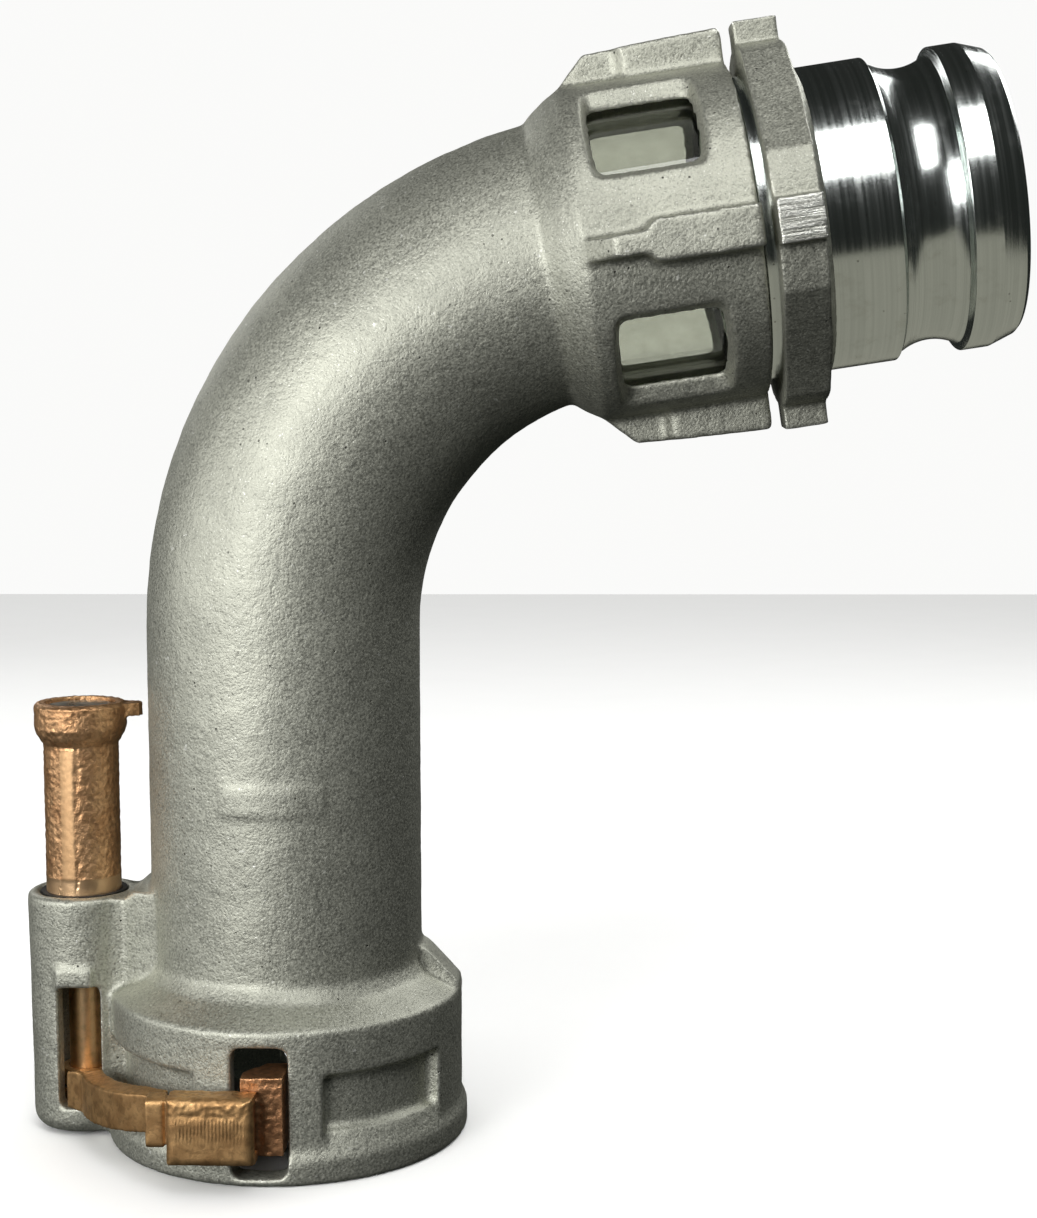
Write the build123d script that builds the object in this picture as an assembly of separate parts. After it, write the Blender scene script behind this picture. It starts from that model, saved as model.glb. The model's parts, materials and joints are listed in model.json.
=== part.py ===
"""Tight-fill drop elbow: a camlock adapter and a sight glass on one arm, a two-jaw coupler below.

Frame: millimetres. The origin is the centre of the coupler's bottom rim and +Z runs up the coupler's
axis. The elbow bends in the XZ plane, so the arm leaves towards +X. The jaws close from -Y and +Y, and
the handle's boss is on the -X side.
"""
from build123d import *
from math import acos, atan, cos, degrees, radians, sin, sqrt, tan
import os

# ---- Margins that only serve the cutting and joining of solids ----
PAST = 1.0
SUNK = 3.0

# ---- Elbow tube ----
BORE_RADIUS = 50.8
TUBE_WALL = 4.9
BEND_START_Z = 209.6
BEND_RADIUS = 151.0
BEND_ANGLE = 81.5
TUBE_RADIUS = BORE_RADIUS + TUBE_WALL

# ---- Coupler head at the bottom ----
SOCKET_RADIUS = 61.0
SOCKET_DEPTH = 56.0
SOCKET_LEAD_IN = 2.0
SEAT_START = 45.5
MOUTH_STEP = 1.2
WAIST_WALL = 4.3
WAIST_TOP = 41.0
RIM_STEP = 7.9
RIM_HEIGHT = 9.5
LIP_STEP = 3.0
LIP_TOP = 19.5
COLLAR_STEP = 5.7
COLLAR_UNDERCUT = 1.5
COLLAR_TOP = 60.6
COLLAR_SLOPE_TOP = 67.5
COLLAR_SLOPE_FOOT = 3.5
COLLAR_TUBE_JOIN = 73.0
EDGE_BEVEL = 1.0
PAD_FLOOR = 12.0
FRONT_PAD_START = 71.3
FRONT_PAD_END = 113.8
SIDE_PAD_HALF_ANGLE = 26.3
GUSSET_WIDTH = 20.0
GUSSET_SHOULDER = 2.0
GUSSET_HEAD = 2.5
GUSSET_RISE = 4.0
MOUTH_RADIUS = SOCKET_RADIUS + MOUTH_STEP
WAIST_RADIUS = MOUTH_RADIUS + WAIST_WALL
RIM_RADIUS = WAIST_RADIUS + RIM_STEP
LIP_RADIUS = WAIST_RADIUS + LIP_STEP
COLLAR_RADIUS = WAIST_RADIUS + COLLAR_STEP

# ---- Coupler gasket ----
GASKET_HEIGHT = 6.0
GASKET_GRIP = 2.0
GASKET_GAP = 0.2
GASKET_BORE_GAP = 0.6
GASKET_GROOVE_INSET = 3.5
GASKET_GROOVE_WIDTH = 2.5
GASKET_GROOVE_DEPTH = 1.4
GASKET_TOP = SOCKET_DEPTH + GASKET_HEIGHT

# ---- Fits ----
RUNNING_GAP = 0.06
SEAT_GAP = 0.05
FREE_GAP = 0.4

# ---- Handle post, its bush and its guide key ----
JOURNAL_RADIUS = 15.3
JOURNAL_TOP = 106.0
POST_STEP = 0.2
POST_BOTTOM = 66.4
POST_WALL = 3.5
POST_HOLLOW_FLOOR = 112.0
HEAD_BOTTOM = 160.5
HEAD_TOP = 178.0
HEAD_STEP = 3.5
HEAD_FLARE = 4.0
HEAD_BAND_START = 3.0
HEAD_TOP_BEVEL = 1.5
HEAD_HOLLOW_STEP = 2.0
TAB_OVERHANG = 6.6
TAB_THICKNESS = 6.0
TAB_WIDTH = 15.0
TAB_TIP_WIDTH = 7.0
TAB_POINT = 1.5
TAB_DROP = 0.8
TAB_TURN = 12.0
HANDLE_LIFT = 12.0
BUSH_WALL = 2.2
BUSH_TOP = 96.0
KEY_WIDTH = 4.0
KEY_DEPTH = 2.0
KEY_BOTTOM = 84.0
KEY_SHORT = 0.3
POST_RADIUS = JOURNAL_RADIUS + POST_STEP
POST_HOLLOW_RADIUS = POST_RADIUS - POST_WALL
HEAD_RADIUS = POST_RADIUS + HEAD_STEP
HEAD_HOLLOW_RADIUS = POST_HOLLOW_RADIUS + HEAD_HOLLOW_STEP
TAB_REACH = HEAD_RADIUS + TAB_OVERHANG
BUSH_RADIUS = JOURNAL_RADIUS + RUNNING_GAP + BUSH_WALL

# ---- Hubs of the two arms ----
ARM_SWING = 6.0
HUB_RADIUS = 11.0
HUB_BOTTOM = 9.0
HUB_HEIGHT = 7.6
SPACER_HEIGHT = 0.8
ROOT_CLEARANCE = 0.6
UPPER_HUB_BOTTOM = HUB_BOTTOM + HUB_HEIGHT + SPACER_HEIGHT
HUB_TOP = UPPER_HUB_BOTTOM + HUB_HEIGHT

# ---- Boss that carries the handle and the arms ----
PIVOT_OFFSET = 10.3
BOSS_WALL = 5.64
BOSS_TAPER = 1.0
BOSS_BOTTOM = 1.0
BOSS_TOP = 100.0
BOSS_TOP_BEVEL = 1.5
BOSS_CORNER = 5.0
WEB_HALF_WIDTH = 17.0
WEB_FLARE = 8.0
WEB_FLARE_LENGTH = 9.0
WEB_INSET = 2.0
WEB_DEPTH = 6.0
WEB_TOP = 103.0
WEB_RISE = 4.0
CAVITY_GAP = 1.8
CAVITY_FLOOR = 8.0
WINDOW_LEFT = -6.7
WINDOW_RIGHT = 9.8
WINDOW_BOTTOM = 12.7
WINDOW_TOP = 62.9
WINDOW_CORNER = 2.0
WINDOW_SIDE_GAP = 0.8
WINDOW_PAD_HEIGHT = 8.0
WINDOW_PAD_WIDTH = 15.5
WINDOW_PAD_SHIFT = -1.25
WINDOW_PAD_PROUD = 0.7
WINDOW_PAD_LAP = 0.3
PIVOT_X = -(RIM_RADIUS + PIVOT_OFFSET)
BOSS_TOP_RADIUS = BUSH_RADIUS + BOSS_WALL
BOSS_BOTTOM_RADIUS = BOSS_TOP_RADIUS - BOSS_TAPER
CAVITY_RADIUS = HUB_RADIUS + CAVITY_GAP
WINDOW_MIDDLE = PIVOT_X + (WINDOW_LEFT + WINDOW_RIGHT) / 2

# ---- Shafts on the pivot axis ----
SPINDLE_RADIUS = 4.2
SPINDLE_START = 1.5
SPINDLE_DISC_TOP = 176.4
SPINDLE_DISC_HEIGHT = 3.4
SPINDLE_DISC_BEVEL = 0.6
SLEEVE_WALL = 3.14
SLEEVE_TOP = 95.0
CAM_PIN_RADIUS = 1.5
CAM_PIN_Z = 88.0
CAM_PIN_RELIEF = 4.0
CAM_PIN_INSET = 0.6
CAM_GROOVE_SPARE = 0.7
ARM_KEY_SHORT = 0.3
NUT_RADIUS = 6.0
NUT_HEIGHT = 3.4
NUT_POCKET_RADIUS = 8.0
NUT_POCKET_TOP = 5.5
NUT_GAP = 0.1
WASHER_INSET = 0.5
WASHER_BORE_GAP = 0.3
SLEEVE_RADIUS = SPINDLE_RADIUS + RUNNING_GAP + SLEEVE_WALL
CAM_PIN_REACH = JOURNAL_RADIUS - CAM_PIN_RELIEF
SPINDLE_DISC_BOTTOM = SPINDLE_DISC_TOP - SPINDLE_DISC_HEIGHT

# ---- Return spring ----
SPRING_SIDE_GAP = 1.0
SPRING_WIRE_RADIUS = 1.4
SPRING_END_GAP = 0.2
SPRING_TURNS = 8
SEAT_WASHER_HEIGHT = 1.8
SEAT_WASHER_GAP = 0.3
SPRING_RADIUS = POST_HOLLOW_RADIUS - SPRING_SIDE_GAP - SPRING_WIRE_RADIUS

# ---- Arms ----
ARM_GAP = 2.6
ARM_DEPTH = 9.0
ARM_START_ANGLE = 160.0
ARM_ROOT_BOTTOM = 13.4
ARM_ROOT_TOP = 30.0
ARM_END_BOTTOM = 21.2
ARM_END_TOP = 37.0
ARM_TOP_DROP = 0.8
BRIDGE_RIGHT = 7.0
BRIDGE_REACH = 4.0
COLLAR_LEFT = -44.0
COLLAR_GAP = 1.6
COLLAR_LAP = 6.67
COLLAR_Z = (18.0, 37.5)
COLLAR_ROUND = 2.2
COLLAR_PROUD = 2.3
NECK_INSET = (1.5, 1.0)
BLOCK_BACK_STEP = -0.6
BLOCK_DEPTH = 14.2
BLOCK_LEFT = -35.2
BLOCK_RIGHT = -1.5
BLOCK_Z = (13.0, 39.8)
BLOCK_ROUND = 3.2
ARM_INNER_RADIUS = RIM_RADIUS + ARM_GAP
ARM_OUTER_RADIUS = ARM_INNER_RADIUS + ARM_DEPTH
ARM_END_ANGLE = degrees(acos((COLLAR_LEFT + COLLAR_LAP) / ARM_INNER_RADIUS))
BLOCK_BACK = RIM_RADIUS + BLOCK_BACK_STEP
BLOCK_FRONT = BLOCK_BACK + BLOCK_DEPTH

# ---- Jaws and their slots ----
JAW_LEFT = -8.6
JAW_RIGHT = 8.0
JAW_Z = (13.4, 44.4)
JAW_BITE = 4.0
JAW_SHOULDER = 2.7
JAW_SLOT_MARGIN = 0.6
TANG_LEFT = -21.0
TANG_DEPTH = 7.0
TANG_Z = (17.0, 35.5)
TANG_GAP = 0.05
JAW_PIN_RADIUS = 2.0
JAW_PIN_X = -15.0
JAW_PIN_INSET = 3.0
JAW_PIN_CAP = 2.0
SLOT_LEFT_ROOM = 4.0
SLOT_RIGHT_ROOM = 0.9
SLOT_BOTTOM = 3.6
SLOT_TOP = 53.6
SLOT_CORNER = 4.0
JAW_TIP_RADIUS = SOCKET_RADIUS - JAW_BITE
JAW_OUTER = BLOCK_BACK + JAW_SHOULDER
TANG_FRONT = JAW_OUTER + TANG_DEPTH
JAW_PIN_Y = JAW_OUTER + JAW_PIN_INSET
COLLAR_FRONT = JAW_PIN_Y + COLLAR_PROUD
SLOT_LEFT = JAW_LEFT - SLOT_LEFT_ROOM
SLOT_RIGHT = JAW_RIGHT + SLOT_RIGHT_ROOM

# ---- Sight glass, measured along the arm from the end of the bend ----
GLASS_SEAT = -1.0
GLASS_STEP = 0.8
GLASS_WALL = 6.0
GLASS_SIDE_GAP = 0.9
GLASS_LENGTH = 44.0
GLASS_GASKET_THICKNESS = 2.4
GLASS_RADIUS = BORE_RADIUS + GLASS_STEP + GLASS_WALL
GLASS_CHAMBER_RADIUS = GLASS_RADIUS + GLASS_SIDE_GAP
SPIGOT_START = GLASS_SEAT + 2 * GLASS_GASKET_THICKNESS + GLASS_LENGTH

# ---- Sight glass housing ----
HOUSING_WALL = 7.5
FLARE_START = -21.0
FLARE_STEP = 1.0
FLARE_DROP = 4.0
HOUSING_START = -7.5
SPIGOT_LENGTH = 11.2
PATTERN_COUNT = 4
PATTERN_ROLL = 3.1
RIB_START = -8.5
RIB_SUNK = 8.0
RIB_RAMP = 12.5
RIB_LOW_HEIGHT = 11.5
RIB_HIGH_HEIGHT = 13.6
RIB_BEVEL = 1.5
RIB_HALF_WIDTH = 8.1
RIB_NECK_HALF_WIDTH = 4.4
RIB_STEP_START = 15.5
RIB_STEP_END = 19.5
GLASS_WINDOW_START = 2.6
GLASS_WINDOW_MARGIN = 18.0
GLASS_WINDOW_HALF_ANGLE = 18.0
GLASS_WINDOW_CORNER = 3.5
REVEAL_FLOOR = 1.5
REVEAL_LENGTH_FLARE = 4.0
REVEAL_WIDTH_FLARE = 17.0
REVEAL_CORNER = 6.0
HOUSING_RADIUS = GLASS_CHAMBER_RADIUS + HOUSING_WALL
HOUSING_END = SPIGOT_START + SPIGOT_LENGTH
GLASS_WINDOW_END = HOUSING_END - GLASS_WINDOW_MARGIN

# ---- Camlock adapter ----
SPIGOT_GAP = 0.2
SHOULDER_STEP = 1.5
SHOULDER_GAP = 0.5
RING_GAP = 4.4
RING_LENGTH = 18.6
RING_FLAT_RADIUS = 65.5
RING_CORNER_RADIUS = 71.5
RING_BEVEL = 0.5
LUG_RADIUS = 80.5
LUG_HALF_WIDTH = 8.5
LUG_SHORT = 1.0
LUG_BEVEL = 1.2
ADAPTER_RADIUS = 59.75
CONE_LENGTH = 4.0
LAND_LENGTH = 25.0
GROOVE_LENGTH = 26.5
GROOVE_OFFSET = 14.0
GROOVE_RADIUS = 53.5
GROOVE_SHOULDER = 2.6
GROOVE_EDGE = 1.2
LIP_LENGTH = 10.5
NOSE_LENGTH = 11.0
NOSE_RADIUS = 56.4
NOSE_BEVEL = 1.5
SPIGOT_RADIUS = GLASS_CHAMBER_RADIUS - SPIGOT_GAP
SHOULDER_RADIUS = GLASS_CHAMBER_RADIUS + SHOULDER_STEP
RING_START = HOUSING_END + RING_GAP
RING_END = RING_START + RING_LENGTH
LUG_END = RING_END - LUG_SHORT
ADAPTER_START = RING_END + CONE_LENGTH
GROOVE_START = ADAPTER_START + LAND_LENGTH
GROOVE_MIDDLE = GROOVE_START + GROOVE_OFFSET
GROOVE_END = GROOVE_START + GROOVE_LENGTH
NOSE_START = GROOVE_END + LIP_LENGTH
ADAPTER_END = NOSE_START + NOSE_LENGTH

# ---- Small raised blank plate on the tube ----
PLATE_LEFT = -18.6
PLATE_RIGHT = 22.0
PLATE_Z = (140.5, 151.5)
PLATE_HEIGHT = 0.6

# ---- Frames and cuts that several pieces share ----
bend_turn = radians(BEND_ANGLE)
arm_start = Vector(BEND_RADIUS * (1 - cos(bend_turn)), 0, BEND_START_Z + BEND_RADIUS * sin(bend_turn))
arm_axis = Vector(sin(bend_turn), 0, cos(bend_turn))
arm_frame = Plane(origin=arm_start, x_dir=(0, -1, 0), z_dir=arm_axis)
FRONT = -1
REAR = 1


def tube_between(outer, inner, low, high, x=0.0):
    """A plain ring about a vertical axis at x, from height low to high."""
    ring = extrude(Circle(outer) - Circle(inner), high - low)
    return Pos(x, 0, low) * ring


def rod_between(radius, low, high, x=0.0, y=0.0):
    """A plain cylinder about a vertical axis, from height low to high."""
    return Pos(x, y, low) * extrude(Circle(radius), high - low)


def box_between(x, y, z):
    """A box given by its low and high value on each axis."""
    size = Box(x[1] - x[0], y[1] - y[0], z[1] - z[0], align=(Align.MIN, Align.MIN, Align.MIN))
    return Pos(x[0], y[0], z[0]) * size


def turned(points):
    """The solid that (radius, height) points sweep about the Z axis."""
    return revolve(Plane.XZ * make_face(Polyline(*points, close=True)), Axis.Z, 360)


def ring_sector(outer, inner, low, high, middle_angle, half_angle):
    """Part of a ring about Z, centred on middle_angle in degrees."""
    reach = 2 * outer
    wedge = make_face(Polyline(
        (0, 0),
        (reach, -reach * tan(radians(half_angle))),
        (reach, reach * tan(radians(half_angle))),
        close=True))
    wedge = Rot(0, 0, middle_angle) * wedge
    face = (Circle(outer) - Circle(inner)) & wedge
    return Pos(0, 0, low) * extrude(face, high - low)


def around_arm(shape):
    """Copies of a shape at each rib position, in the arm's own frame."""
    step = 360 / PATTERN_COUNT
    return [Rot(0, 0, PATTERN_ROLL + step * index) * shape for index in range(PATTERN_COUNT)]


def to_side(shape, side):
    """The shape as drawn for the front, or its mirror image for the rear."""
    return shape if side == FRONT else mirror(shape, Plane.XZ)


def radial_pin(radius, start, end, angle, z):
    """A pin that points away from the pivot axis at an angle in degrees."""
    pin = Rot(0, 90, 0) * extrude(Circle(radius), end - start)
    return Pos(PIVOT_X, 0, z) * Rot(0, 0, angle) * Pos(start, 0, 0) * pin


# ---- Elbow body ----
def tube_solid(radius, z_start):
    """The bent tube's solid of a given radius, from z_start to the end of the bend."""
    straight = rod_between(radius, z_start, BEND_START_Z)
    centre = Axis((BEND_RADIUS, 0, BEND_START_Z), (0, 1, 0))
    bend = revolve(Pos(0, 0, BEND_START_Z) * Circle(radius), centre, BEND_ANGLE)
    return straight + bend


def rib():
    """One long rib of the sight glass housing, narrow at its start and wide after a step."""
    rib_top = HOUSING_RADIUS + RIB_HIGH_HEIGHT
    side = Plane.XZ * make_face(Polyline(
        (HOUSING_RADIUS - RIB_SUNK, RIB_START),
        (HOUSING_RADIUS - PAST, RIB_START),
        (HOUSING_RADIUS + RIB_LOW_HEIGHT, RIB_START + RIB_RAMP),
        (rib_top, HOUSING_END - RIB_BEVEL),
        (rib_top - RIB_BEVEL, HOUSING_END),
        (HOUSING_RADIUS - RIB_SUNK, HOUSING_END),
        close=True))
    slab = extrude(side, RIB_HALF_WIDTH, both=True)
    plan = Plane.YZ * make_face(Polyline(
        (-RIB_NECK_HALF_WIDTH, RIB_START),
        (RIB_NECK_HALF_WIDTH, RIB_START),
        (RIB_NECK_HALF_WIDTH, RIB_STEP_START),
        (RIB_HALF_WIDTH, RIB_STEP_END),
        (RIB_HALF_WIDTH, HOUSING_END),
        (-RIB_HALF_WIDTH, HOUSING_END),
        (-RIB_HALF_WIDTH, RIB_STEP_END),
        (-RIB_NECK_HALF_WIDTH, RIB_STEP_START),
        close=True))
    return slab & extrude(plan, rib_top + PAST)


def glass_window():
    """The cutter for one window of the sight glass housing, centred between two ribs."""
    length = GLASS_WINDOW_END - GLASS_WINDOW_START
    half_width = GLASS_CHAMBER_RADIUS * sin(radians(GLASS_WINDOW_HALF_ANGLE))
    depth = GLASS_CHAMBER_RADIUS * cos(radians(GLASS_WINDOW_HALF_ANGLE)) + REVEAL_FLOOR
    middle = (GLASS_WINDOW_START + GLASS_WINDOW_END) / 2
    face = Plane(origin=(depth, 0, middle), x_dir=(0, 1, 0), z_dir=(1, 0, 0))
    mouth = Plane(origin=(HOUSING_RADIUS + PAST, 0, middle), x_dir=(0, 1, 0), z_dir=(1, 0, 0))
    opening = RectangleRounded(2 * half_width, length, GLASS_WINDOW_CORNER)
    reveal_width = 2 * (half_width + REVEAL_WIDTH_FLARE)
    reveal = RectangleRounded(reveal_width, length + 2 * REVEAL_LENGTH_FLARE, REVEAL_CORNER)
    hole = extrude(face * opening, -depth / 2)
    flare = loft([face * opening, mouth * reveal])
    return Rot(0, 0, 180 / PATTERN_COUNT) * (hole + flare)


def housing_outside():
    """The sight glass housing, drawn about Z and moved to the arm."""
    barrel = turned([
        (0, FLARE_START - SUNK),
        (TUBE_RADIUS - SUNK, FLARE_START - SUNK),
        (TUBE_RADIUS + FLARE_STEP, FLARE_START),
        (HOUSING_RADIUS - FLARE_DROP, (FLARE_START + HOUSING_START) / 2),
        (HOUSING_RADIUS, HOUSING_START),
        (HOUSING_RADIUS, HOUSING_END),
        (0, HOUSING_END)])
    for piece in around_arm(rib()):
        barrel += piece
    return arm_frame.location * barrel


def housing_cutters():
    """What is taken out of the housing: the glass chamber and the four windows."""
    cutter = rod_between(GLASS_CHAMBER_RADIUS, GLASS_SEAT, HOUSING_END + PAST)
    for piece in around_arm(glass_window()):
        cutter += piece
    return arm_frame.location * cutter


def coupler_outside():
    """The coupler's collar, waist, lip and pads, without its socket."""
    head = turned([
        (0, 0),
        (RIM_RADIUS - EDGE_BEVEL, 0),
        (RIM_RADIUS, EDGE_BEVEL),
        (RIM_RADIUS, RIM_HEIGHT),
        (LIP_RADIUS, LIP_TOP),
        (WAIST_RADIUS, LIP_TOP + EDGE_BEVEL),
        (WAIST_RADIUS, WAIST_TOP),
        (COLLAR_RADIUS, WAIST_TOP + COLLAR_UNDERCUT),
        (COLLAR_RADIUS, COLLAR_TOP - EDGE_BEVEL),
        (COLLAR_RADIUS - EDGE_BEVEL, COLLAR_TOP),
        (TUBE_RADIUS + COLLAR_SLOPE_FOOT, COLLAR_SLOPE_TOP),
        (TUBE_RADIUS, COLLAR_TUBE_JOIN),
        (0, COLLAR_TUBE_JOIN)])
    pad_middle = (FRONT_PAD_START + FRONT_PAD_END) / 2
    pad_half = (FRONT_PAD_END - FRONT_PAD_START) / 2
    for angle, half in ((-pad_middle, pad_half), (pad_middle, pad_half), (0, SIDE_PAD_HALF_ANGLE)):
        pad_root = (MOUTH_RADIUS + WAIST_RADIUS) / 2
        head += ring_sector(COLLAR_RADIUS, pad_root, PAD_FLOOR, WAIST_TOP + SUNK, angle, half)
    gusset = Plane.XZ * make_face(Polyline(
        (TUBE_RADIUS - SUNK, COLLAR_TOP - SUNK),
        (COLLAR_RADIUS, COLLAR_TOP - SUNK),
        (COLLAR_RADIUS - EDGE_BEVEL / 2, COLLAR_TOP + GUSSET_SHOULDER),
        (TUBE_RADIUS + GUSSET_HEAD, COLLAR_TUBE_JOIN + GUSSET_RISE),
        (TUBE_RADIUS - SUNK, COLLAR_TUBE_JOIN + GUSSET_RISE + GUSSET_SHOULDER),
        close=True))
    return head + extrude(gusset, GUSSET_WIDTH / 2, both=True)


def boss_outside():
    """The boss, its web to the tube and the small pads over its windows."""
    boss = turned([
        (0, BOSS_BOTTOM),
        (BOSS_BOTTOM_RADIUS - BOSS_CORNER, BOSS_BOTTOM),
        (BOSS_BOTTOM_RADIUS - BOSS_CORNER / 3, BOSS_BOTTOM + BOSS_CORNER / 3),
        (BOSS_BOTTOM_RADIUS, BOSS_BOTTOM + BOSS_CORNER),
        (BOSS_TOP_RADIUS, BOSS_TOP - BOSS_TOP_BEVEL),
        (BOSS_TOP_RADIUS - BOSS_TOP_BEVEL, BOSS_TOP),
        (0, BOSS_TOP)])
    boss = Pos(PIVOT_X, 0, 0) * boss
    web = make_face(Polyline(
        (PIVOT_X, WEB_INSET - BOSS_BOTTOM_RADIUS),
        (-TUBE_RADIUS - WEB_FLARE_LENGTH, -WEB_HALF_WIDTH),
        (WEB_DEPTH - TUBE_RADIUS, -WEB_HALF_WIDTH - WEB_FLARE),
        (WEB_DEPTH - TUBE_RADIUS, WEB_HALF_WIDTH + WEB_FLARE),
        (-TUBE_RADIUS - WEB_FLARE_LENGTH, WEB_HALF_WIDTH),
        (PIVOT_X, BOSS_BOTTOM_RADIUS - WEB_INSET),
        close=True))
    web_bottom = BOSS_BOTTOM + EDGE_BEVEL
    web = Pos(0, 0, web_bottom) * extrude(web, WEB_TOP - web_bottom)
    slope = Plane.XZ * make_face(Polyline(
        (PIVOT_X, BOSS_BOTTOM),
        (PIVOT_X, BOSS_TOP - EDGE_BEVEL),
        (PIVOT_X + BOSS_TOP_RADIUS - SUNK, BOSS_TOP - EDGE_BEVEL),
        (-TUBE_RADIUS, WEB_TOP + WEB_RISE),
        (WEB_DEPTH + PAST - TUBE_RADIUS, WEB_TOP + WEB_RISE),
        (WEB_DEPTH + PAST - TUBE_RADIUS, BOSS_BOTTOM),
        close=True))
    web = web & extrude(slope, WEB_HALF_WIDTH + WEB_FLARE + PAST, both=True)
    pad_middle = WINDOW_MIDDLE + WINDOW_PAD_SHIFT
    pad_x = (pad_middle - WINDOW_PAD_WIDTH / 2, pad_middle + WINDOW_PAD_WIDTH / 2)
    pad_y = BOSS_TOP_RADIUS + WINDOW_PAD_PROUD
    pad_z = (WINDOW_TOP - WINDOW_PAD_LAP, WINDOW_TOP + WINDOW_PAD_HEIGHT)
    pad = box_between(pad_x, (-pad_y, pad_y), pad_z)
    return boss + web + pad


def boss_cutters():
    """The boss's bores and its two windows."""
    cutter = rod_between(CAVITY_RADIUS, CAVITY_FLOOR, POST_BOTTOM + PAST, PIVOT_X)
    cutter += rod_between(BUSH_RADIUS + SEAT_GAP, POST_BOTTOM, WEB_TOP + WEB_RISE + PAST, PIVOT_X)
    cutter += rod_between(SPINDLE_RADIUS + RUNNING_GAP, 0, CAVITY_FLOOR + PAST, PIVOT_X)
    cutter += rod_between(NUT_POCKET_RADIUS, BOSS_BOTTOM - PAST, NUT_POCKET_TOP, PIVOT_X)
    width = WINDOW_RIGHT - WINDOW_LEFT
    height = WINDOW_TOP - WINDOW_BOTTOM
    middle = (WINDOW_MIDDLE, 0, (WINDOW_TOP + WINDOW_BOTTOM) / 2)
    face = Plane(origin=middle, x_dir=(1, 0, 0), z_dir=(0, -1, 0))
    window = RectangleRounded(width, height, WINDOW_CORNER)
    reach = WEB_HALF_WIDTH + WEB_FLARE + 2 * SUNK
    return cutter + extrude(face * window, reach, both=True)


def jaw_slots():
    """The cutter for the front and rear jaw slots."""
    width = SLOT_RIGHT - SLOT_LEFT
    height = SLOT_TOP - SLOT_BOTTOM
    middle = ((SLOT_LEFT + SLOT_RIGHT) / 2, 0, (SLOT_TOP + SLOT_BOTTOM) / 2)
    face = Plane(origin=middle, x_dir=(1, 0, 0), z_dir=(0, -1, 0))
    return extrude(face * RectangleRounded(width, height, SLOT_CORNER), RIM_RADIUS + SUNK, both=True)


def elbow_body():
    body = tube_solid(TUBE_RADIUS, COLLAR_TOP) + housing_outside() + coupler_outside() + boss_outside()
    plate_y = (-TUBE_RADIUS - PLATE_HEIGHT, -BORE_RADIUS / 2)
    plate = box_between((PLATE_LEFT, PLATE_RIGHT), plate_y, PLATE_Z)
    body += plate & rod_between(TUBE_RADIUS + PLATE_HEIGHT, PLATE_Z[0], PLATE_Z[1])
    body -= tube_solid(BORE_RADIUS, GASKET_TOP - PAST)
    body -= housing_cutters()
    body -= turned([
        (0, -PAST),
        (MOUTH_RADIUS + SOCKET_LEAD_IN + PAST, -PAST),
        (MOUTH_RADIUS, SOCKET_LEAD_IN),
        (MOUTH_RADIUS, SEAT_START - MOUTH_STEP),
        (SOCKET_RADIUS, SEAT_START),
        (SOCKET_RADIUS, SOCKET_DEPTH),
        (SOCKET_RADIUS + GASKET_GRIP, SOCKET_DEPTH),
        (SOCKET_RADIUS + GASKET_GRIP, GASKET_TOP),
        (0, GASKET_TOP)])
    body -= jaw_slots()
    body -= boss_cutters()
    return body


# ---- Sight glass and camlock adapter ----
def arm_ring(outer, inner, start, end):
    return arm_frame.location * tube_between(outer, inner, start, end)


def sight_glass():
    start = GLASS_SEAT + GLASS_GASKET_THICKNESS
    return arm_ring(GLASS_RADIUS, GLASS_RADIUS - GLASS_WALL, start, start + GLASS_LENGTH)


def glass_gasket(start):
    return arm_ring(GLASS_RADIUS, GLASS_RADIUS - GLASS_WALL, start, start + GLASS_GASKET_THICKNESS)


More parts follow.
